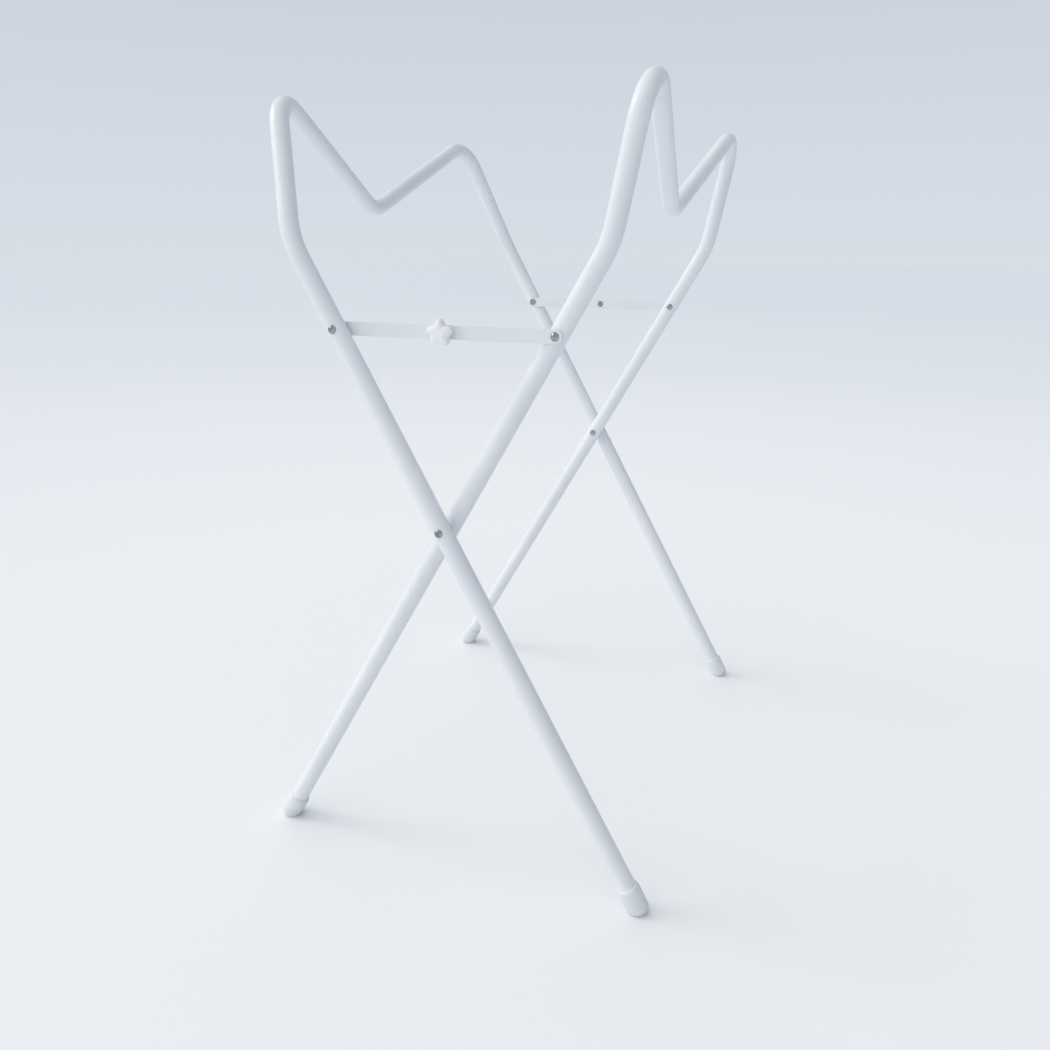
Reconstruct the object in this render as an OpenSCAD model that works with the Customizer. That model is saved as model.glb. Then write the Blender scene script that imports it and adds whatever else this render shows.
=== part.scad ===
// Folding baby bath stand: two bent tube frames cross at two pivots, one inside the other.
// Millimetres. +Z up, X across the fold, Y along the pivot axis. Origin: on the floor, in the middle.
// The outer frame's top is on the -X side, the inner frame's top on the +X side.

/* [Tubes] */
// outside diameter of both frame tubes
tube_od = 22; // [16:0.5:30]
// wall of both frame tubes
tube_wall = 1.2; // [0.8:0.1:2.5]
// half the distance between the outer frame's two legs, to their axes
outer_half = 338; // [240:1:420]
// free space between an outer leg and the inner leg beside it
leg_gap = 6; // [4.5:0.1:12]

/* [Frame profile] */
// height of the pivot axis over the floor
pivot_height = 442; // [340:1:540]
// lean of the legs from upright, degrees
leg_lean = 29.4; // [20:0.1:36]
// length of a leg from the pivot to its knee bend
upper_leg = 360; // [290:1:430]
// bend radius of the knees, at the tube's axis
knee_radius = 110; // [50:1:150]
// bend radius of the horns, at the tube's axis
horn_radius = 45; // [36:1:60]
// bend radius at the bottom of the V, at the tube's axis
dip_radius = 50; // [36:1:90]

/* [Outer frame's cradle] */
// lean of the outer frame's arms above the knees, degrees
outer_arm_lean = 18; // [8:0.1:24]
// length of the outer frame's arms, from knee to horn corner
outer_arm = 170; // [140:1:220]
// how far each outer arm draws in towards the middle, knee to horn corner
outer_draw_in = 70; // [0:1:80]
// depth of the outer frame's V, along its arms
outer_depth = 124; // [80:1:150]
// how far the bottom of the outer V is set outwards
outer_set_out = 65; // [0:1:90]

/* [Inner frame's cradle] */
// lean of the inner frame's arms above the knees, degrees
inner_arm_lean = 11; // [5:0.1:20]
// length of the inner frame's arms, from knee to horn corner
inner_arm = 182; // [150:1:220]
// how far each inner arm draws in towards the middle, knee to horn corner
inner_draw_in = 0; // [-30:1:40]
// depth of the inner frame's V, along its arms
inner_depth = 140; // [80:1:160]
// how far the bottom of the inner V is set outwards
inner_set_out = -9; // [-30:1:60]

/* [Foot caps] */
// wall of a foot cap round the tube
cap_wall = 2.8; // [1.5:0.1:4.5]
// length of a foot cap above the floor, along the leg
cap_length = 36; // [28:1:60]
// distance from the floor to the tube's end, along the leg
cap_floor = 14; // [13:0.5:20]
// height of the middle of the cap's rounded end over the floor; the sole is trimmed flat
cap_rest = 8; // [7:0.5:11.5]
// length of the soft shoulder at a foot cap's mouth
cap_shoulder = 4; // [1:0.5:8]

/* [Rivets] */
// radius of the rivets' shanks
rivet_r = 3; // [2:0.1:4]
// radius of the rivets' domed heads
head_r = 4.9; // [4.2:0.1:8]
// height of the rivets' domed heads
head_h = 3; // [1.5:0.1:4]
// radius of the low heads of the outer link's rivets
low_head_r = 5.2; // [4.2:0.1:7]
// height of the low heads inside the braces
low_head_h = 1.2; // [0.6:0.1:1.8]
// radius of the spacer round each pivot rivet
spacer_r = 9; // [5:0.5:12]

/* [Links] */
// distance from the pivot to the link rivets, along the legs
link_reach = 252; // [200:1:300]
// width of the flat links
link_width = 15; // [11:0.5:22]
// thickness of the flat links
link_thickness = 2; // [1.2:0.1:2.5]
// radius of the washers at the links' middle joints
washer_r = 6.5; // [5:0.5:9]

/* [Knob] */
// radius of the knob's core
knob_core_r = 9.6; // [9:0.5:16]
// radius of each knob lobe
lobe_r = 4.2; // [3:0.1:7]
// distance from the knob's axis to the middle of a lobe
lobe_reach = 10.4; // [8:0.5:18]
// number of lobes
lobes = 5; // [3:1:8]
// thickness of the knob's lobed part
knob_thickness = 9; // [6:0.5:14]
// radius of the knob's foot
knob_foot_r = 8.5; // [7:0.5:12]
// height of the knob's foot
knob_foot = 3.5; // [2:0.5:6]
// height of the knob's domed top
knob_dome = 2.4; // [1:0.1:4]
// distance across the flats of the nut moulded into the knob
insert_af = 10; // [8.5:0.5:12]
// length of the nut moulded into the knob
insert_length = 8; // [6:0.5:8.5]
// distance from the end of the bolt to the end of the moulded nut
bolt_short = 1; // [0.5:0.5:2]
// thickness of the washer under the knob
knob_washer = 1.2; // [0.8:0.1:2]
// radius of the washer under the knob
knob_washer_r = 8; // [6:0.5:12]

/* [Fits] */
// clearance between faces that slide on each other
face_run = 0.05; // [0.02:0.01:0.15]
// radial clearance of a pin in a hole that turns on it
pin_run = 0.05; // [0.02:0.01:0.1]
// radial interference of a pin pressed in its hole
pin_press = 0.01; // [0:0.005:0.03]
// radial clearance of the foot caps on the tubes
cap_fit = 0.03; // [0.01:0.01:0.1]
// gap left at each link's open pivot
open_gap = 0.2; // [0.1:0.05:0.5]

/* [Node] */
// which sub-part is drawn

/* [Hidden] */
$fn = 64;

tube_r = tube_od / 2;
bore_r = tube_r - tube_wall;
// axis of the inner frame's legs, and the two faces of the gap between the legs
inner_half = outer_half - tube_od - leg_gap;
gap_outer = outer_half - tube_r;
gap_inner = inner_half + tube_r;
// layers in the leg gap, counted from the middle outwards
inner_link_y = gap_inner + face_run;
outer_link_y = gap_outer - face_run - link_thickness;
joint_washer_y = inner_link_y + link_thickness + face_run;
joint_washer_t = outer_link_y - face_run - joint_washer_y;
// leg and knee in the fold plane
lower_leg = pivot_height / cos(leg_lean);
knee_x = upper_leg * sin(leg_lean);
knee_z = pivot_height + upper_leg * cos(leg_lean);
// link rivets and the middle joint, in the fold plane
link_x = link_reach * sin(leg_lean);
link_z = pivot_height + link_reach * cos(leg_lean);
white = [0.93, 0.94, 0.96];
plastic = [0.95, 0.95, 0.95];
bright = [0.75, 0.76, 0.78];
hole_over = 1;
// how much thinner the tube is in its bends, and how far a straight laps over a bend
bend_thinning = 0.05;
bend_lap = 0.5;

// ---- helpers ----
// turns a frame built with its top on +X into the outer frame, whose top is on -X
module outer_side() { rotate([0, 0, 180]) children(); }

// a rod along +Y from y0 to y1 at x, z
module rod_y(x, z, y0, y1, r) {
  translate([x, y0, z]) rotate([-90, 0, 0]) cylinder(h = y1 - y0, r = r);
}

// a domed head on +Y from y0 upwards
module dome_y(x, z, y0, r, h) {
  big = (r * r + h * h) / (2 * h);
  translate([x, y0, z]) rotate([-90, 0, 0]) intersection() {
    translate([0, 0, h - big]) sphere(r = big);
    cylinder(h = h + hole_over, r = r);
  }
}

// places its child on the front or on the rear, the child being drawn for the rear (+Y)
module at_front() { mirror([0, 1, 0]) children(); }

// ---- frame tubes, drawn with the top on +X ----
function unit(v) = v / norm(v);
function flip_y(v) = [v.x, -v.y, v.z];

// corners of a frame from the front foot to the rear foot
function corners(half, arm_lean, arm, draw_in, depth, set_out) = let (
  foot = [-(lower_leg - cap_floor) * sin(leg_lean), -half, pivot_height - (lower_leg - cap_floor) * cos(leg_lean)],
  knee = [knee_x, -half, knee_z],
  horn = knee + [arm * sin(arm_lean), draw_in, arm * cos(arm_lean)],
  dip = [horn.x - depth * sin(arm_lean) + set_out, 0, horn.z - depth * cos(arm_lean)])
  [foot, knee, horn, dip, flip_y(horn), flip_y(knee), flip_y(foot)];

bend_radii = [0, knee_radius, horn_radius, dip_radius, horn_radius, knee_radius, 0];

// angle the path turns at corner i, and how much of each side its bend takes
function turn_at(p, i) = let (u = unit(p[i] - p[i - 1]), v = unit(p[i + 1] - p[i])) acos(u * v);
function cut_at(p, i) = (i == 0 || i == len(p) - 1) ? 0 : bend_radii[i] * tan(turn_at(p, i) / 2);

// places its child's X and Y axes along x and y, and its origin at o
module on_axes(o, x, y) {
  z = cross(x, y);
  multmatrix([[x.x, y.x, z.x, o.x], [x.y, y.y, z.y, o.y], [x.z, y.z, z.z, o.z], [0, 0, 0, 1]]) children();
}

// a straight of the tube from a to b, longer by more0 and more1 at its ends
module straight(a, b, r, more0, more1) {
  w = unit(b - a);
  u = unit(cross(w, [1, 0, 0]));
  on_axes(a - more0 * w, u, cross(w, u)) cylinder(h = norm(b - a) + more0 + more1, r = r);
}

// the bend at corner i; bending thins the tube a little
module bend(p, i, r) {
  u = unit(p[i] - p[i - 1]);
  v = unit(p[i + 1] - p[i]);
  inward = unit(v - (v * u) * u);
  start = p[i] - cut_at(p, i) * u;
  on_axes(start + bend_radii[i] * inward, -inward, u)
    rotate_extrude(angle = turn_at(p, i)) translate([bend_radii[i], 0]) circle(r = r - bend_thinning);
}

// the whole tube as one solid with section radius r; its two ends run on by extra
module sweep(p, r, extra) {
  last = len(p) - 1;
  for (i = [1:last - 1]) bend(p, i, r);
  for (i = [0:last - 1]) {
    w = unit(p[i + 1] - p[i]);
    straight(p[i] + cut_at(p, i) * w, p[i + 1] - cut_at(p, i + 1) * w, r,
      i == 0 ? extra : bend_lap, i == last - 1 ? extra : bend_lap);
  }
}

module frame_tube(p, half, pivot_hole, link_hole) {
  difference() {
    sweep(p, tube_r, 0);
    sweep(p, bore_r, hole_over);
    for (s = [-1, 1]) {
      rod_y(0, pivot_height, s * half - tube_r - hole_over, s * half + tube_r + hole_over, pivot_hole);
      rod_y(link_x, link_z, s * half - tube_r - hole_over, s * half + tube_r + hole_over, link_hole);
    }
  }
}

module outer_frame_tube() {
  p = corners(outer_half, outer_arm_lean, outer_arm, outer_draw_in, outer_depth, outer_set_out);
  color(white) outer_side() frame_tube(p, outer_half, rivet_r - pin_press, rivet_r - pin_press);
}

module inner_frame_tube() {
  p = corners(inner_half, inner_arm_lean, inner_arm, inner_draw_in, inner_depth, inner_set_out);
  color(white) frame_tube(p, inner_half, rivet_r + pin_run, rivet_r - pin_press);
}

// ---- foot caps, drawn under a frame whose top is on +X ----
module foot_cap(y) {
  cap_r = tube_r + cap_fit + cap_wall;
  ball = cap_rest / cos(leg_lean);
  mouth_r = cap_r - cap_wall / 2;
  difference() {
    translate([0, y, pivot_height]) rotate([0, leg_lean, 0]) translate([0, 0, -lower_leg]) difference() {
      intersection() {
        union() {
          translate([0, 0, ball]) sphere(r = cap_r);
          translate([0, 0, ball]) cylinder(h = cap_length - ball, r = cap_r);
        }
        // the soft shoulder at the mouth
        translate([0, 0, -cap_length])
          cylinder(h = 2 * cap_length, r1 = mouth_r + cap_length * cap_wall / cap_shoulder, r2 = mouth_r);
      }
      translate([0, 0, cap_floor]) cylinder(h = cap_length, r = tube_r + cap_fit);
    }
    // the sole is trimmed flat to the floor
    translate([-lower_leg, y - 2 * cap_r, -4 * cap_r]) cube([2 * lower_leg, 4 * cap_r, 4 * cap_r]);
  }
}

module outer_front_foot_cap() { color(plastic) outer_side() foot_cap(outer_half); }
module outer_rear_foot_cap() { color(plastic) outer_side() foot_cap(-outer_half); }
module inner_front_foot_cap() { color(plastic) foot_cap(-inner_half); }
module inner_rear_foot_cap() { color(plastic) foot_cap(inner_half); }

// ---- rivets, drawn for the rear (+Y) ----
// skirt that seats a domed head on the round tube whose axis is at y_axis
module head_skirt(x, z, y_axis, lean) {
  difference() {
    rod_y(x, z, y_axis, y_axis + tube_r, head_r);
    translate([x, y_axis, z]) rotate([0, lean, 0]) translate([0, 0, -3 * head_r])
      cylinder(h = 6 * head_r, r = tube_r + pin_press);
    translate([x - 2 * head_r, y_axis - hole_over, z - 2 * head_r])
      cube([4 * head_r, tube_r * 0.55, 4 * head_r]);
  }
}

// through the outer tube, the spacer and the inner tube
module pivot_rivet() {
  tail = inner_half - tube_r - face_run;
  dome_y(0, pivot_height, outer_half + tube_r, head_r, head_h);
  head_skirt(0, pivot_height, outer_half, -leg_lean);
  rod_y(0, pivot_height, tail - head_h, outer_half + tube_r + head_h / 3, rivet_r);
  rod_y(0, pivot_height, tail - head_h / 2, tail, head_r);
}

module front_pivot_rivet() { color(bright) at_front() pivot_rivet(); }
module rear_pivot_rivet() { color(bright) pivot_rivet(); }

module pivot_spacer() {
  difference() {
    rod_y(0, pivot_height, gap_inner + face_run, gap_outer, spacer_r);
    rod_y(0, pivot_height, gap_inner - hole_over, gap_outer + hole_over, rivet_r + pin_run);
  }
}

module front_pivot_spacer() { color(plastic) at_front() pivot_spacer(); }
module rear_pivot_spacer() { color(plastic) pivot_spacer(); }

// through the outer tube and the outer link
module outer_link_rivet() {
  dome_y(-link_x, link_z, outer_half + tube_r, head_r, head_h);
  head_skirt(-link_x, link_z, outer_half, -leg_lean);
  rod_y(-link_x, link_z, outer_link_y - face_run - low_head_h / 2, outer_half + tube_r + head_h / 3, rivet_r);
  rod_y(-link_x, link_z, outer_link_y - face_run - low_head_h, outer_link_y - face_run, low_head_r);
}

module front_outer_link_rivet() { color(bright) at_front() outer_link_rivet(); }
module rear_outer_link_rivet() { color(bright) outer_link_rivet(); }

// the link's half of the rivet at the open pivot: its head, and a stub that ends short of the tube
module inner_link_rivet() {
  seat = inner_link_y + link_thickness;
  dome_y(link_x, link_z, seat, head_r, head_h);
  rod_y(link_x, link_z, gap_inner + face_run, seat + head_h / 3, rivet_r);
}

module front_inner_link_rivet() { color(bright) at_front() inner_link_rivet(); }
module rear_inner_link_rivet() { color(bright) inner_link_rivet(); }

// the tube's half of that rivet: through the inner tube, with its head on the inside
module inner_rivet_tail() {
  mirror([0, 1, 0]) {
    dome_y(link_x, link_z, -inner_half + tube_r, head_r, head_h);
    head_skirt(link_x, link_z, -inner_half, leg_lean);
    rod_y(link_x, link_z, -gap_inner + open_gap, -inner_half + tube_r + head_h / 3, rivet_r);
  }
}

module front_inner_rivet_tail() { color(bright) at_front() inner_rivet_tail(); }
module rear_inner_rivet_tail() { color(bright) inner_rivet_tail(); }

// ---- links, drawn for the rear ----
// flat bar with round ends from x0 to x1, with the two hole radii
module link_bar(x0, x1, y, hole0, hole1) {
  difference() {
    union() {
      translate([x0, y, link_z - link_width / 2]) cube([x1 - x0, link_thickness, link_width]);
      for (x = [x0, x1]) rod_y(x, link_z, y, y + link_thickness, link_width / 2);
    }
    rod_y(x0, link_z, y - hole_over, y + link_thickness + hole_over, hole0);
    rod_y(x1, link_z, y - hole_over, y + link_thickness + hole_over, hole1);
  }
}

module outer_link() {
  link_bar(-link_x, 0, outer_link_y, rivet_r + pin_run, rivet_r + pin_run);
}

module inner_link() {
  link_bar(0, link_x, inner_link_y, rivet_r - pin_press, rivet_r - pin_press);
}

module front_outer_link() { color(white) at_front() outer_link(); }
module front_inner_link() { color(white) at_front() inner_link(); }
module rear_outer_link() { color(white) outer_link(); }
module rear_inner_link() { color(white) inner_link(); }

// washer between the two links at their middle joint
module joint_washer() {
  difference() {
    rod_y(0, link_z, joint_washer_y, joint_washer_y + joint_washer_t, washer_r);
    rod_y(0, link_z, joint_washer_y - hole_over, gap_outer, rivet_r + pin_run);
  }
}

module front_joint_washer() { color(plastic) at_front() joint_washer(); }
module rear_joint_washer() { color(plastic) joint_washer(); }

// rivet at the rear middle joint, pressed in the inner link
module rear_joint_rivet() {
  inside = inner_link_y;
  outside = outer_link_y + link_thickness + face_run;
  color(bright) {
    rod_y(0, link_z, inside - low_head_h / 2, outside + low_head_h / 3, rivet_r);
    dome_y(0, link_z, outside, head_r, low_head_h);
    mirror([0, 1, 0]) dome_y(0, link_z, -inside, head_r, low_head_h);
  }
}

// ---- knob at the front middle joint, drawn for the rear and turned to the front ----
washer_y = outer_link_y + link_thickness + face_run;
knob_y = washer_y + knob_washer + face_run;
knob_top = knob_y + knob_foot + knob_thickness;
insert_y = knob_y + knob_foot;

module knob_bolt() {
  color(bright) at_front() {
    rod_y(0, link_z, inner_link_y - low_head_h / 2, insert_y + insert_length - bolt_short, rivet_r);
    mirror([0, 1, 0]) dome_y(0, link_z, -inner_link_y, head_r + 0.6, head_h);
  }
}

module knob_washer_plate() {
  color(bright) at_front() difference() {
    rod_y(0, link_z, washer_y, washer_y + knob_washer, knob_washer_r);
    rod_y(0, link_z, washer_y - hole_over, washer_y + knob_washer + hole_over, rivet_r + pin_run);
  }
}

module insert_hex(y0, length, af) {
  translate([0, y0, link_z]) rotate([-90, 0, 0]) linear_extrude(height = length)
    polygon([for (a = [30:60:330]) [cos(a), sin(a)] * af / 2 / cos(30)]);
}

module knob_insert() {
  color(bright) at_front() difference() {
    insert_hex(insert_y, insert_length, insert_af);
    rod_y(0, link_z, insert_y - hole_over, insert_y + insert_length + hole_over, rivet_r + pin_run);
  }
}

module clamp_knob() {
  color(plastic) at_front() difference() {
    union() {
      rod_y(0, link_z, knob_y, knob_y + knob_foot, knob_foot_r);
      rod_y(0, link_z, knob_y + knob_foot, knob_top, knob_core_r);
      for (i = [0:lobes - 1]) rotate_about_joint(i * 360 / lobes - 90)
        rod_y(lobe_reach, link_z, knob_y + knob_foot, knob_top, lobe_r);
      dome_y(0, link_z, knob_top, knob_core_r - 1, knob_dome);
    }
    rod_y(0, link_z, knob_y - hole_over, insert_y + insert_length, rivet_r + 2 * pin_run);
    insert_hex(insert_y, insert_length, insert_af + 2 * pin_press);
  }
}

// turns its child about the middle joint's axis
module rotate_about_joint(angle) {
  translate([0, 0, link_z]) rotate([0, angle, 0]) translate([0, 0, -link_z]) children();
}

outer_frame_tube();
inner_frame_tube();
outer_front_foot_cap();
outer_rear_foot_cap();
inner_front_foot_cap();
inner_rear_foot_cap();
front_pivot_rivet();
rear_pivot_rivet();
front_pivot_spacer();
rear_pivot_spacer();
front_outer_link();
front_inner_link();
rear_outer_link();
rear_inner_link();
front_outer_link_rivet();
rear_outer_link_rivet();
front_inner_link_rivet();
rear_inner_link_rivet();
front_inner_rivet_tail();
rear_inner_rivet_tail();
front_joint_washer();
rear_joint_washer();
rear_joint_rivet();
knob_bolt();
knob_washer_plate();
clamp_knob();
knob_insert();
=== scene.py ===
import math
import bpy
from mathutils import Matrix, Vector


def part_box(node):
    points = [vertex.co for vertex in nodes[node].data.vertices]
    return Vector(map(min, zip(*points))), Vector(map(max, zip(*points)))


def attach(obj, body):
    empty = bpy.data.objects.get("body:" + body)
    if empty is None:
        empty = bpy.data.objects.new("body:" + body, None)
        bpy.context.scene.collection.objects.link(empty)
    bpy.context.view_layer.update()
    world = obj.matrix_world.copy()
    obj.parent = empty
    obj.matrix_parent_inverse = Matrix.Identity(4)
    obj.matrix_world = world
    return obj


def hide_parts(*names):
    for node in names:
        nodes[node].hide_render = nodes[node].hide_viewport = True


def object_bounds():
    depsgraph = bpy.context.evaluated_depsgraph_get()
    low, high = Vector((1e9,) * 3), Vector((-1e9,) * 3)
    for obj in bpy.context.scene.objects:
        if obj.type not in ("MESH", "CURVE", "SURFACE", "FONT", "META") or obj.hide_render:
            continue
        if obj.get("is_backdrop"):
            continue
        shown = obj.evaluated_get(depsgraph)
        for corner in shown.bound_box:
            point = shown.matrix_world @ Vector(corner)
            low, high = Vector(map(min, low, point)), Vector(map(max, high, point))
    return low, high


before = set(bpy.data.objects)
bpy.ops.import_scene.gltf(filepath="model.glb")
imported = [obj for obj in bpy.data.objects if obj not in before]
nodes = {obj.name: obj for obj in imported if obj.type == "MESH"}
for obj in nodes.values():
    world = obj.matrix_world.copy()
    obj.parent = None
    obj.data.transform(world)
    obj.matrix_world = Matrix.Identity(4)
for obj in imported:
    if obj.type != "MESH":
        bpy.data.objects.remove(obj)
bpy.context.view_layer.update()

# The two frames: each one length of 22 mm round steel tube, bent cold on a mandrel and powder coated
# white. The coat is glossy over a fine orange peel, a touch greyer where it is thin, with small specks
# of dust baked in and faint rubs where the stand is handled.
MM = 0.001
TUBE_OD_MM = 22.0
LEG_LEAN = math.radians(29.4)
PIVOT_HEIGHT_MM = 442.0
COAT_LIGHT, COAT_DARK, COAT_SPECK = "e8ebef", "dfe3e8", "c3c6cb"
COAT_PATCH_MM, SPECK_MM, HANDLING_MM = 160.0, 2.4, 36.0
SPECK_FROM, SPECK_FULL = 0.735, 0.76
ORANGE_PEEL_MM, ORANGE_PEEL_DEPTH_MM = 2.2, 0.06


def linear(hex_colour):
    """A written sRGB colour, such as "e8ebf0", as linear light with full cover."""
    parts = [int(hex_colour[i:i + 2], 16) / 255 for i in (0, 2, 4)]
    return [c / 12.92 if c <= 0.04045 else ((c + 0.055) / 1.055) ** 2.4 for c in parts] + [1.0]


def add(tree, kind, feeds=None, **settings):
    """Adds a node with its settings. Each feed is a socket, which is linked, or a value, which is set."""
    n = tree.nodes.new(kind)
    for name, value in settings.items():
        setattr(n, name, value)
    for name, value in (feeds or {}).items():
        if isinstance(value, bpy.types.NodeSocket):
            tree.links.new(value, n.inputs[name])
        else:
            n.inputs[name].default_value = value
    return n


def ramp(tree, source, *stops):
    """A colour ramp fed by a value: each stop is (position, linear colour or grey)."""
    r = add(tree, "ShaderNodeValToRGB", {"Fac": source})
    while len(r.color_ramp.elements) < len(stops):
        r.color_ramp.elements.new(0.5)
    for e, (at, colour) in zip(r.color_ramp.elements, stops):
        e.position = at
        e.color = colour if not isinstance(colour, float) else (colour, colour, colour, 1)
    return r.outputs["Color"]


def cloudy(tree, where, size_mm, detail=3.0):
    """Noise with patches of about that size."""
    return add(tree, "ShaderNodeTexNoise", {"Vector": where, "Scale": 1 / (size_mm * MM), "Detail": detail,
                                            "Roughness": 0.55}).outputs["Fac"]


def new_material(name):
    """A material with one shader: it, its tree, its shader and the object's own coordinates."""
    m = bpy.data.materials.new(name)
    m.use_nodes = True
    t = m.node_tree
    t.nodes.clear()
    shade = add(t, "ShaderNodeBsdfPrincipled")
    add(t, "ShaderNodeOutputMaterial", {"Surface": shade.outputs["BSDF"]})
    return m, t, shade, add(t, "ShaderNodeTexCoord").outputs["Object"]


def give(material, *names):
    """Puts the material on those CAD nodes."""
    for name in names:
        nodes[name].data.materials.clear()
        nodes[name].data.materials.append(material)


def powder_coat(name, light, dark, rough):
    """Powder coat on steel: an even white gloss that breaks up a little in its orange peel."""
    m, t, shade, where = new_material(name)
    colour = ramp(t, cloudy(t, where, COAT_PATCH_MM, 4.0), (0.3, linear(dark)), (0.7, linear(light)))
    specks = ramp(t, cloudy(t, where, SPECK_MM, 2.0), (SPECK_FROM, 0.0), (SPECK_FULL, 1.0))
    speckled = add(t, "ShaderNodeMix", {"Factor": specks, 6: colour, 7: linear(COAT_SPECK)}, data_type="RGBA")
    rubbed = ramp(t, cloudy(t, where, HANDLING_MM, 5.0), (0.35, rough + 0.08), (0.7, rough - 0.06))
    peel = add(t, "ShaderNodeBump", {"Height": cloudy(t, where, ORANGE_PEEL_MM, 1.0), "Strength": 0.22,
                                     "Distance": ORANGE_PEEL_DEPTH_MM * MM})
    t.links.new(speckled.outputs[2], shade.inputs["Base Color"])
    t.links.new(rubbed, shade.inputs["Roughness"])
    t.links.new(peel.outputs["Normal"], shade.inputs["Normal"])
    shade.inputs["IOR"].default_value = 1.5
    shade.inputs["Coat Weight"].default_value = 0.15
    shade.inputs["Coat Roughness"].default_value = 0.2
    return m


tube_coat = powder_coat("white_powder_coat", COAT_LIGHT, COAT_DARK, 0.34)
give(tube_coat, "outer_frame_tube", "inner_frame_tube")

# The four foot caps: soft white vinyl, moulded, pushed on the tubes' ends. Each has a rounded mouth, a
# slight taper to its sole and a flat sole on the floor, and picks up some floor dirt low down.
CAP_WALL_MM, CAP_LENGTH_MM, CAP_REST_MM = 2.75, 36.0, 8.0
CAP_MOUTH_MM, CAP_SHOULDER_MM, CAP_TAPER_MM = 2.3, 6.0, 0.5
CAP_RINGS, CAP_SIDES, CAP_WELD_MM = 90, 64, 0.02
VINYL_LIGHT, VINYL_DARK, FLOOR_DIRT = "e4e7ea", "dbdfe3", "96969a"
# the mould's grain is drawn coarser than the real 0.2 mm, so that it shows
MOULD_GRAIN_MM, MOULD_GRAIN_DEPTH_MM = 0.9, 0.05
MOULD_PATCH_MM, MOULD_SHEEN_MM, DIRT_PATCH_MM = 25.0, 11.0, 4.5
DIRT_BY_HEIGHT = (0.0, 0.45), (0.006, 0.12), (0.02, 0.0)


def moulded(name, light, dark, rough, dirt=False):
    """Moulded white plastic: a soft sheen, and a little light that goes into the surface."""
    m, t, shade, where = new_material(name)
    colour = ramp(t, cloudy(t, where, MOULD_PATCH_MM), (0.3, linear(dark)), (0.7, linear(light)))
    if dirt:
        height = add(t, "ShaderNodeSeparateXYZ", {"Vector": where}).outputs["Z"]
        low = ramp(t, height, *DIRT_BY_HEIGHT)
        patches = cloudy(t, where, DIRT_PATCH_MM, 4.0)
        patchy = add(t, "ShaderNodeMath", {0: low, 1: patches}, operation="MULTIPLY")
        colour = add(t, "ShaderNodeMix", {"Factor": patchy.outputs[0], 6: colour, 7: linear(FLOOR_DIRT)},
                     data_type="RGBA").outputs[2]
    uneven = ramp(t, cloudy(t, where, MOULD_SHEEN_MM), (0.3, rough - 0.05), (0.7, rough + 0.08))
    grain = add(t, "ShaderNodeBump", {"Height": cloudy(t, where, MOULD_GRAIN_MM, 2.0), "Strength": 0.2,
                                      "Distance": MOULD_GRAIN_DEPTH_MM * MM})
    t.links.new(colour, shade.inputs["Base Color"])
    t.links.new(uneven, shade.inputs["Roughness"])
    t.links.new(grain.outputs["Normal"], shade.inputs["Normal"])
    shade.inputs["IOR"].default_value = 1.49
    shade.inputs["Subsurface Weight"].default_value = 0.05
    shade.inputs["Subsurface Radius"].default_value = (1.2 * MM, 1.0 * MM, 0.9 * MM)
    return m


def new_tree(name, sizes):
    """An empty Geometry Nodes tree that takes loose points and named sizes, and gives one mesh."""
    tree = bpy.data.node_groups.new(name, "GeometryNodeTree")
    tree.interface.new_socket("Points", in_out="INPUT", socket_type="NodeSocketGeometry")
    for size, value in sizes.items():
        kind = "NodeSocketVector" if hasattr(value, "__len__") else "NodeSocketFloat"
        tree.interface.new_socket(size, in_out="INPUT", socket_type=kind)
    tree.interface.new_socket("Mesh", in_out="OUTPUT", socket_type="NodeSocketGeometry")
    return tree, add(tree, "NodeGroupInput").outputs


def grow(name, tree, points, sizes, slot, body, *replaced):
    """Runs the tree on the points and keeps its result as a plain mesh that stands for the CAD nodes."""
    dots = bpy.data.meshes.new(name)
    dots.from_pydata(points, [], [])
    seed = bpy.data.objects.new(name, dots)
    bpy.context.scene.collection.objects.link(seed)
    run = seed.modifiers.new("grow", "NODES")
    run.node_group = tree
    for item in tree.interface.items_tree:
        if item.in_out == "INPUT" and item.name in sizes:
            run[item.identifier] = sizes[item.name]
    mesh = bpy.data.meshes.new_from_object(seed.evaluated_get(bpy.context.evaluated_depsgraph_get()))
    seed.modifiers.remove(run)
    bpy.data.objects.remove(seed)
    piece = bpy.data.objects.new(name, mesh)
    bpy.context.scene.collection.objects.link(piece)
    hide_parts(*replaced)
    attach(piece, body)
    return piece


def quarter_round(tree, part):
    """Rises from 0 to 1 on a quarter of a circle, while part goes from 0 to 1."""
    short = add(tree, "ShaderNodeMath", {0: 1.0, 1: part}, operation="SUBTRACT").outputs[0]
    square = add(tree, "ShaderNodeMath", {0: short, 1: short}, operation="MULTIPLY").outputs[0]
    rest = add(tree, "ShaderNodeMath", {0: 1.0, 1: square}, operation="SUBTRACT").outputs[0]
    return add(tree, "ShaderNodeMath", {0: rest}, operation="SQRT").outputs[0]


vinyl = moulded("white_vinyl", VINYL_LIGHT, VINYL_DARK, 0.46, dirt=True)
cap_sizes = {"Reach": (0.0, 0.0, 0.0), "Radius": (TUBE_OD_MM / 2 + CAP_WALL_MM) * MM,
             "Mouth": CAP_MOUTH_MM * MM, "Shoulder": CAP_SHOULDER_MM * MM, "Taper": CAP_TAPER_MM * MM}
cap_tree, given = new_tree("foot_cap", cap_sizes)
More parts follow.
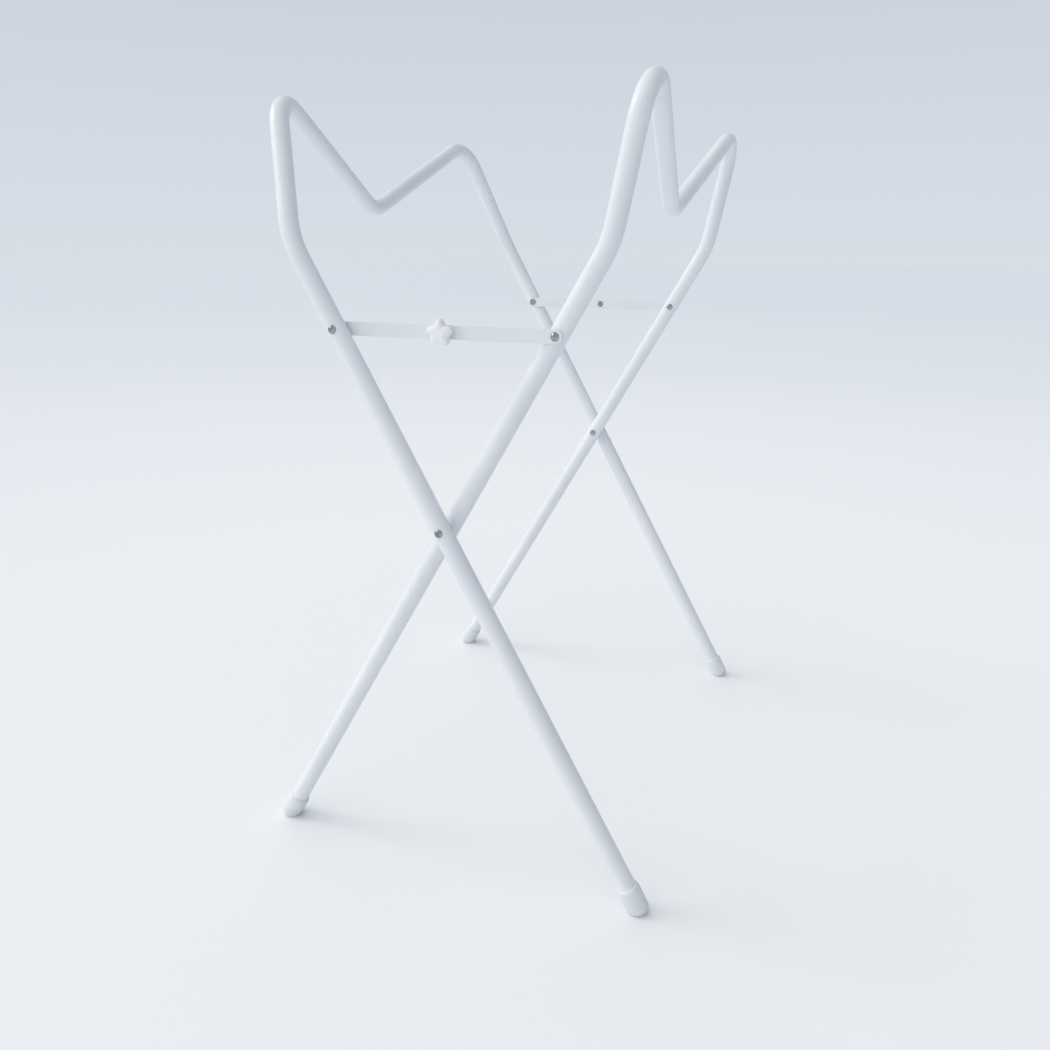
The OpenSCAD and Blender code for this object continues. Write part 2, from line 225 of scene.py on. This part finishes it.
# a straight line from the cap's mouth to the end of its rounded bottom, and the cap's radius along it
line = add(cap_tree, "GeometryNodeCurvePrimitiveLine", {"Start": (0.0, 0.0, 0.0), "End": given["Reach"]})
steps = add(cap_tree, "GeometryNodeResampleCurve", {"Curve": line.outputs[0], "Count": CAP_RINGS})
along = add(cap_tree, "GeometryNodeSplineParameter").outputs["Length"]
whole = add(cap_tree, "ShaderNodeVectorMath", {0: given["Reach"]}, operation="LENGTH").outputs["Value"]
left = add(cap_tree, "ShaderNodeMath", {0: whole, 1: along}, operation="SUBTRACT").outputs[0]
in_ball = add(cap_tree, "ShaderNodeMath", {0: left, 1: given["Radius"]}, operation="DIVIDE",
              use_clamp=True).outputs[0]
in_mouth = add(cap_tree, "ShaderNodeMath", {0: along, 1: given["Shoulder"]}, operation="DIVIDE",
               use_clamp=True).outputs[0]
ball = add(cap_tree, "ShaderNodeMath", {0: quarter_round(cap_tree, in_ball), 1: given["Radius"]},
           operation="MULTIPLY").outputs[0]
drop = add(cap_tree, "ShaderNodeMath", {0: quarter_round(cap_tree, in_mouth), 1: 1.0},
           operation="SUBTRACT").outputs[0]
mouth = add(cap_tree, "ShaderNodeMath", {0: drop, 1: given["Mouth"], 2: given["Radius"]},
            operation="MULTIPLY_ADD").outputs[0]
part_way = add(cap_tree, "ShaderNodeMath", {0: along, 1: whole}, operation="DIVIDE").outputs[0]
thinner = add(cap_tree, "ShaderNodeMath", {0: part_way, 1: given["Taper"]}, operation="MULTIPLY").outputs[0]
tapered = add(cap_tree, "ShaderNodeMath", {0: mouth, 1: thinner}, operation="SUBTRACT").outputs[0]
radius = add(cap_tree, "ShaderNodeMath", {0: ball, 1: tapered}, operation="MINIMUM").outputs[0]
ring = add(cap_tree, "GeometryNodeCurvePrimitiveCircle", {"Resolution": CAP_SIDES, "Radius": 1.0})
wall = add(cap_tree, "GeometryNodeCurveToMesh", {"Curve": steps.outputs[0], "Profile Curve": ring.outputs[0],
                                                 "Scale": radius, "Fill Caps": True})
placed = add(cap_tree, "GeometryNodeInstanceOnPoints", {"Points": given["Points"],
                                                        "Instance": wall.outputs[0]})
real = add(cap_tree, "GeometryNodeRealizeInstances", {"Geometry": placed.outputs[0]})
# the sole is flat on the floor
here = add(cap_tree, "GeometryNodeInputPosition").outputs[0]
spot = add(cap_tree, "ShaderNodeSeparateXYZ", {"Vector": here})
floor_z = add(cap_tree, "ShaderNodeMath", {0: spot.outputs["Z"], 1: 0.0}, operation="MAXIMUM").outputs[0]
flat = add(cap_tree, "ShaderNodeCombineXYZ", {"X": spot.outputs["X"], "Y": spot.outputs["Y"], "Z": floor_z})
trimmed = add(cap_tree, "GeometryNodeSetPosition", {"Geometry": real.outputs[0], "Position": flat.outputs[0]})
joined = add(cap_tree, "GeometryNodeMergeByDistance", {"Geometry": trimmed.outputs[0],
                                                       "Distance": CAP_WELD_MM * MM})
soft = add(cap_tree, "GeometryNodeSetShadeSmooth", {"Geometry": joined.outputs[0]})
dressed = add(cap_tree, "GeometryNodeSetMaterial", {"Geometry": soft.outputs[0], "Material": vinyl})
add(cap_tree, "NodeGroupOutput", {"Mesh": dressed.outputs[0]})

floor_to_pivot = PIVOT_HEIGHT_MM / math.cos(LEG_LEAN)
ball_end = CAP_REST_MM / math.cos(LEG_LEAN) - (TUBE_OD_MM / 2 + CAP_WALL_MM)
for frame_name, side in (("outer_frame", 1), ("inner_frame", -1)):
    down = Vector((side * math.sin(LEG_LEAN), 0, -math.cos(LEG_LEAN)))
    mouths = []
    for end in ("front", "rear"):
        low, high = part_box("%s_%s_foot_cap" % (frame_name[:5], end))
        pivot = Vector((0, (low.y + high.y) / 2, PIVOT_HEIGHT_MM * MM))
        mouths.append(pivot + down * (floor_to_pivot - CAP_LENGTH_MM) * MM)
    cap_sizes["Reach"] = tuple(down * (CAP_LENGTH_MM - ball_end) * MM)
    give(vinyl, frame_name[:5] + "_front_foot_cap", frame_name[:5] + "_rear_foot_cap")
    grow(frame_name + "_caps", cap_tree, mouths, cap_sizes, "white_plastic", frame_name,
         frame_name[:5] + "_front_foot_cap", frame_name[:5] + "_rear_foot_cap")

# The pivots: a rivet through each pair of crossing legs, with a white nylon spacer between the tubes.
# The rivets are nickel plated steel with domed heads, and show the fine marks of the tool that set them.
PLATE_LIGHT, PLATE_DARK = "bdc0c5", "7c828a"
PLATE_PATCH_MM, PLATE_SHEEN_MM = 6.0, 1.7
SETTING_MARK_MM, SETTING_MARK_DEPTH_MM = 0.6, 0.03
NYLON_LIGHT, NYLON_DARK = "eceef0", "e3e6e9"


def plated(name, light, dark, rough, mark_mm):
    """Plated steel: a metal that mirrors the lamp in one bright spot, with darker patches."""
    m, t, shade, where = new_material(name)
    tone = ramp(t, cloudy(t, where, PLATE_PATCH_MM), (0.3, linear(light)), (0.75, linear(dark)))
    uneven = ramp(t, cloudy(t, where, PLATE_SHEEN_MM, 2.0), (0.3, rough), (0.8, rough + 0.16))
    marks = add(t, "ShaderNodeBump", {"Height": cloudy(t, where, mark_mm, 2.0), "Strength": 0.3,
                                      "Distance": SETTING_MARK_DEPTH_MM * MM})
    t.links.new(tone, shade.inputs["Base Color"])
    t.links.new(uneven, shade.inputs["Roughness"])
    t.links.new(marks.outputs["Normal"], shade.inputs["Normal"])
    shade.inputs["Metallic"].default_value = 1.0
    return m


nickel = plated("nickel_plated_steel", PLATE_LIGHT, PLATE_DARK, 0.12, SETTING_MARK_MM)
give(nickel, "front_pivot_rivet", "rear_pivot_rivet")
nylon = moulded("white_nylon", NYLON_LIGHT, NYLON_DARK, 0.42)
give(nylon, "front_pivot_spacer", "rear_pivot_spacer")

# The braces: flat steel strip 15 by 2 mm, blanked with round ends and punched, in the same white coat a
# little duller. They turn on rivets of the same kind as the pivots', with nylon washers between them.
STRIP_LIGHT, STRIP_DARK = "e7eaee", "dee1e6"
strip_coat = powder_coat("white_coated_strip", STRIP_LIGHT, STRIP_DARK, 0.4)
give(strip_coat, "front_outer_link", "front_inner_link", "rear_outer_link", "rear_inner_link")
give(nickel, "front_outer_link_rivet", "rear_outer_link_rivet", "front_inner_link_rivet",
     "rear_inner_link_rivet", "front_inner_rivet_tail", "rear_inner_rivet_tail", "rear_joint_rivet")
give(nylon, "front_joint_washer", "rear_joint_washer")

# The clamp: a zinc plated bolt, washer and nut, duller than the rivets, and on them a star knob moulded
# in white plastic. The star has five soft lobes, one pointing up, a rounded face and a round foot that
# bears on the washer.
KNOB_LOBES = 5
KNOB_CORE_MM, KNOB_REACH_MM, KNOB_STAR_MM = 10.4, 15.0, 11.2
KNOB_FOOT_R_MM, KNOB_FOOT_MM, KNOB_LAP_MM = 8.4, 3.5, 0.7
KNOB_EDGE_MM, KNOB_FACE_MM = 2.0, 4.6
# how much of the star's size its two rounds take off, and how pointed its lobes are
KNOB_BACK_SHARE, KNOB_FACE_SHARE, LOBE_POINT = 0.16, 0.62, 1.1
STAR_POINTS, STAR_RINGS, FOOT_SIDES, SHARP_DEGREES = 160, 90, 64, 40
KNOB_LIGHT, KNOB_DARK = "f0f2f4", "e9ebee"
ZINC_LIGHT, ZINC_MARK_MM = "b5b7ba", 0.4
zinc = plated("zinc_plated_steel", ZINC_LIGHT, PLATE_DARK, 0.3, ZINC_MARK_MM)
give(zinc, "knob_bolt", "knob_washer_plate", "knob_insert")
knob_plastic = moulded("white_moulded_knob", KNOB_LIGHT, KNOB_DARK, 0.38)
give(knob_plastic, "clamp_knob")

knob_sizes = {"Lobes": float(KNOB_LOBES), "Core": KNOB_CORE_MM / KNOB_REACH_MM, "Reach": KNOB_REACH_MM * MM,
              "Thickness": KNOB_STAR_MM * MM, "Edge": KNOB_EDGE_MM * MM, "Face": KNOB_FACE_MM * MM,
              "Foot radius": KNOB_FOOT_R_MM * MM, "Foot height": KNOB_FOOT_MM * MM, "Lap": KNOB_LAP_MM * MM}
knob_tree, given = new_tree("star_knob", knob_sizes)
# the star's outline: a circle whose points go out and in with the lobes
circle = add(knob_tree, "GeometryNodeCurvePrimitiveCircle", {"Resolution": STAR_POINTS, "Radius": 1.0})
here = add(knob_tree, "GeometryNodeInputPosition").outputs[0]
flat_place = add(knob_tree, "ShaderNodeSeparateXYZ", {"Vector": here})
angle = add(knob_tree, "ShaderNodeMath", {0: flat_place.outputs["Y"], 1: flat_place.outputs["X"]},
            operation="ARCTAN2").outputs[0]
from_top = add(knob_tree, "ShaderNodeMath", {0: angle, 1: math.pi / 2}, operation="SUBTRACT").outputs[0]
turns = add(knob_tree, "ShaderNodeMath", {0: from_top, 1: given["Lobes"]}, operation="MULTIPLY").outputs[0]
wave = add(knob_tree, "ShaderNodeMath", {0: turns}, operation="COSINE").outputs[0]
lobe = add(knob_tree, "ShaderNodeMath", {0: wave, 1: 0.5, 2: 0.5}, operation="MULTIPLY_ADD",
           use_clamp=True).outputs[0]
sharper = add(knob_tree, "ShaderNodeMath", {0: lobe, 1: LOBE_POINT}, operation="POWER").outputs[0]
span = add(knob_tree, "ShaderNodeMath", {0: 1.0, 1: given["Core"]}, operation="SUBTRACT").outputs[0]
outline = add(knob_tree, "ShaderNodeMath", {0: sharper, 1: span, 2: given["Core"]},
              operation="MULTIPLY_ADD").outputs[0]
moved = add(knob_tree, "ShaderNodeVectorMath", {0: here, "Scale": outline}, operation="SCALE").outputs[0]
star = add(knob_tree, "GeometryNodeSetPosition", {"Geometry": circle.outputs[0], "Position": moved})
# its size from the back to the face: a tight round at the back edge, and a long soft one to the face
top = add(knob_tree, "ShaderNodeCombineXYZ", {"Z": given["Thickness"]}).outputs[0]
depth = add(knob_tree, "GeometryNodeCurvePrimitiveLine", {"Start": (0.0, 0.0, 0.0), "End": top})
depth = add(knob_tree, "GeometryNodeResampleCurve", {"Curve": depth.outputs[0], "Count": STAR_RINGS})
along = add(knob_tree, "GeometryNodeSplineParameter").outputs["Length"]
left = add(knob_tree, "ShaderNodeMath", {0: given["Thickness"], 1: along}, operation="SUBTRACT").outputs[0]
scales = []
for distance, over, share in ((along, given["Edge"], KNOB_BACK_SHARE),
                              (left, given["Face"], KNOB_FACE_SHARE)):
    part = add(knob_tree, "ShaderNodeMath", {0: distance, 1: over}, operation="DIVIDE", use_clamp=True)
    curve = quarter_round(knob_tree, part.outputs[0])
    scales.append(add(knob_tree, "ShaderNodeMath", {0: curve, 1: share, 2: 1.0 - share},
                      operation="MULTIPLY_ADD").outputs[0])
least = add(knob_tree, "ShaderNodeMath", {0: scales[0], 1: scales[1]}, operation="MINIMUM").outputs[0]
size = add(knob_tree, "ShaderNodeMath", {0: least, 1: given["Reach"]}, operation="MULTIPLY").outputs[0]
block = add(knob_tree, "GeometryNodeCurveToMesh", {"Curve": depth.outputs[0], "Scale": size,
                                                   "Profile Curve": star.outputs[0], "Fill Caps": True})
lift = add(knob_tree, "ShaderNodeCombineXYZ", {"Z": given["Foot height"]}).outputs[0]
raised = add(knob_tree, "GeometryNodeTransform", {"Geometry": block.outputs[0], "Translation": lift})
# the foot under it, which laps a little into the star
foot_end = add(knob_tree, "ShaderNodeMath", {0: given["Foot height"], 1: given["Lap"]}).outputs[0]
foot_top = add(knob_tree, "ShaderNodeCombineXYZ", {"Z": foot_end}).outputs[0]
stem = add(knob_tree, "GeometryNodeCurvePrimitiveLine", {"Start": (0.0, 0.0, 0.0), "End": foot_top})
edge = add(knob_tree, "GeometryNodeCurvePrimitiveCircle", {"Resolution": FOOT_SIDES,
                                                           "Radius": given["Foot radius"]})
foot = add(knob_tree, "GeometryNodeCurveToMesh", {"Curve": stem.outputs[0], "Profile Curve": edge.outputs[0],
                                                  "Fill Caps": True})
both = add(knob_tree, "GeometryNodeJoinGeometry", {"Geometry": foot.outputs[0]})
knob_tree.links.new(raised.outputs[0], both.inputs[0])
# made standing up, then turned so that its face looks to the front
turned = add(knob_tree, "GeometryNodeTransform", {"Geometry": both.outputs[0],
                                                  "Rotation": (math.pi / 2, 0.0, 0.0)})
placed = add(knob_tree, "GeometryNodeInstanceOnPoints", {"Points": given["Points"],
                                                         "Instance": turned.outputs[0]})
real = add(knob_tree, "GeometryNodeRealizeInstances", {"Geometry": placed.outputs[0]})
bend = add(knob_tree, "GeometryNodeInputMeshEdgeAngle").outputs["Unsigned Angle"]
gentle = add(knob_tree, "FunctionNodeCompare", {0: bend, 1: math.radians(SHARP_DEGREES)},
             operation="LESS_THAN")
soft = add(knob_tree, "GeometryNodeSetShadeSmooth", {"Geometry": real.outputs[0],
                                                     "Shade Smooth": gentle.outputs[0]}, domain="EDGE")
soft = add(knob_tree, "GeometryNodeSetShadeSmooth", {"Geometry": soft.outputs[0]})
dressed = add(knob_tree, "GeometryNodeSetMaterial", {"Geometry": soft.outputs[0], "Material": knob_plastic})
add(knob_tree, "NodeGroupOutput", {"Mesh": dressed.outputs[0]})

bolt_low, bolt_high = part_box("knob_bolt")
knob_back = Vector((0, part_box("clamp_knob")[1].y, (bolt_low.z + bolt_high.z) / 2))
grow("star_knob", knob_tree, [knob_back], knob_sizes, "knob_plastic", "knob", "clamp_knob")

# The stage: a wide floor of matt white paper. Its colour holds painted light: a painted fall-off that makes
# it a little lighter round the stand and greyer far away. It keeps the stand's soft shadow, and meets the
# pale sky without an edge.
FLOOR_HALF = 60.0    # metres, as are the distances of the tones from the stand's middle
FLOOR_PAINTED_LIGHT_TONES = [(0.0, "eceff2"), (1.2, "eef0f3"), (2.6, "eaedf1"), (5.0, "e2e6ec"), (14.0, "dbe0e7")]
floor_mesh = bpy.data.meshes.new("paper_floor")
floor_mesh.from_pydata([(-FLOOR_HALF, -FLOOR_HALF, 0), (FLOOR_HALF, -FLOOR_HALF, 0),
                        (FLOOR_HALF, FLOOR_HALF, 0), (-FLOOR_HALF, FLOOR_HALF, 0)], [], [(0, 1, 2, 3)])
paper_floor = bpy.data.objects.new("paper_floor", floor_mesh)
bpy.context.scene.collection.objects.link(paper_floor)
paper, t, shade, where = new_material("matt_white_paper")
furthest = FLOOR_PAINTED_LIGHT_TONES[-1][0]
# painted light in the floor's colour: it greys with distance from the stand, a painted fall-off of light
away = add(t, "ShaderNodeVectorMath", {0: where}, operation="LENGTH").outputs["Value"]
part_way = add(t, "ShaderNodeMath", {0: away, 1: furthest}, operation="DIVIDE").outputs[0]
t.links.new(ramp(t, part_way, *[(at / furthest, linear(c)) for at, c in FLOOR_PAINTED_LIGHT_TONES]),
            shade.inputs["Base Color"])
shade.inputs["Roughness"].default_value = 0.9
shade.inputs["Specular IOR Level"].default_value = 0.1
floor_mesh.materials.append(paper)
paper_floor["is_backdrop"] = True

# The camera stands at the front, turned to the left and looking down, as in the photograph.
CAMERA_MM = (412.4, -1233.1, 744.5)
YAW, PITCH, ROLL = 0.337, -0.291, 0.012
LENS_MM, SENSOR_MM = 31.17, 36.0
forward = Vector((-math.sin(YAW) * math.cos(PITCH), math.cos(YAW) * math.cos(PITCH), math.sin(PITCH)))
level = forward.cross(Vector((0, 0, 1))).normalized()
upright = level.cross(forward)
right = math.cos(ROLL) * level + math.sin(ROLL) * upright
up = -math.sin(ROLL) * level + math.cos(ROLL) * upright
lens = bpy.data.cameras.new("camera")
lens.lens, lens.sensor_width = LENS_MM, SENSOR_MM
lens.clip_start, lens.clip_end = 0.02, 200
camera = bpy.data.objects.new("camera", lens)
camera.matrix_world = Matrix((right, up, -forward)).transposed().to_4x4()
camera.location = Vector(CAMERA_MM) * MM
bpy.context.scene.collection.objects.link(camera)
bpy.context.scene.camera = camera

# The light: one broad soft lamp from the left, and a pale sky that is brighter on the upper left and the
# front. The camera, gloss and metal see a calm grey gradient in the sky's place.
LAMP_FROM_TO = (1.0, 0.1, -0.75)
LAMP_STRENGTH, LAMP_DEGREES = 0.6, 26
AWAY_FROM_LIGHT = (0.88, 0.3, -0.36)
LEFT_LIGHT, RIGHT_LIGHT = "fffffe", "6e7888"
SKY_STRENGTH, SKY_LEFT_EDGE, SKY_RIGHT_EDGE = 1.18, 0.32, 0.68
SKY_TONES = [(0.0, "d8dee5"), (0.03, "d7dde6"), (0.1, "d3dae4"), (0.23, "ccd3de"), (0.4, "c6cdd9")]
soft_lamp = bpy.data.lights.new("broad_soft_lamp", "SUN")
soft_lamp.energy = LAMP_STRENGTH
soft_lamp.angle = math.radians(LAMP_DEGREES)
lamp = bpy.data.objects.new("broad_soft_lamp", soft_lamp)
lamp.rotation_euler = Vector(LAMP_FROM_TO).to_track_quat("-Z", "Y").to_euler()
bpy.context.scene.collection.objects.link(lamp)

sky = bpy.data.worlds.new("pale_sky")
bpy.context.scene.world = sky
sky.use_nodes = True
t = sky.node_tree
t.nodes.clear()
towards = add(t, "ShaderNodeTexCoord").outputs["Generated"]
height = add(t, "ShaderNodeSeparateXYZ", {"Vector": towards}).outputs["Z"]
seen = add(t, "ShaderNodeBackground", {"Color": ramp(t, height, *[(at, linear(c)) for at, c in SKY_TONES])})
across = add(t, "ShaderNodeVectorMath", {0: towards, 1: AWAY_FROM_LIGHT}, operation="DOT_PRODUCT")
side = add(t, "ShaderNodeMath", {0: across.outputs["Value"], 1: 0.5, 2: 0.5}, operation="MULTIPLY_ADD")
glow = ramp(t, side.outputs[0], (SKY_LEFT_EDGE, linear(LEFT_LIGHT)), (SKY_RIGHT_EDGE, linear(RIGHT_LIGHT)))
lit = add(t, "ShaderNodeBackground", {"Color": glow, "Strength": SKY_STRENGTH})
ray = add(t, "ShaderNodeLightPath").outputs
gloss = add(t, "ShaderNodeMath", {0: ray["Is Camera Ray"], 1: ray["Is Glossy Ray"]}, operation="MAXIMUM")
clear = add(t, "ShaderNodeMath", {0: gloss.outputs[0], 1: ray["Is Transmission Ray"]}, operation="MAXIMUM")
either = add(t, "ShaderNodeMixShader", {"Fac": clear.outputs[0], 1: lit.outputs[0], 2: seen.outputs[0]})
add(t, "ShaderNodeOutputWorld", {"Surface": either.outputs[0]})
bpy.context.scene.view_settings.view_transform = "Standard"

low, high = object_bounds()
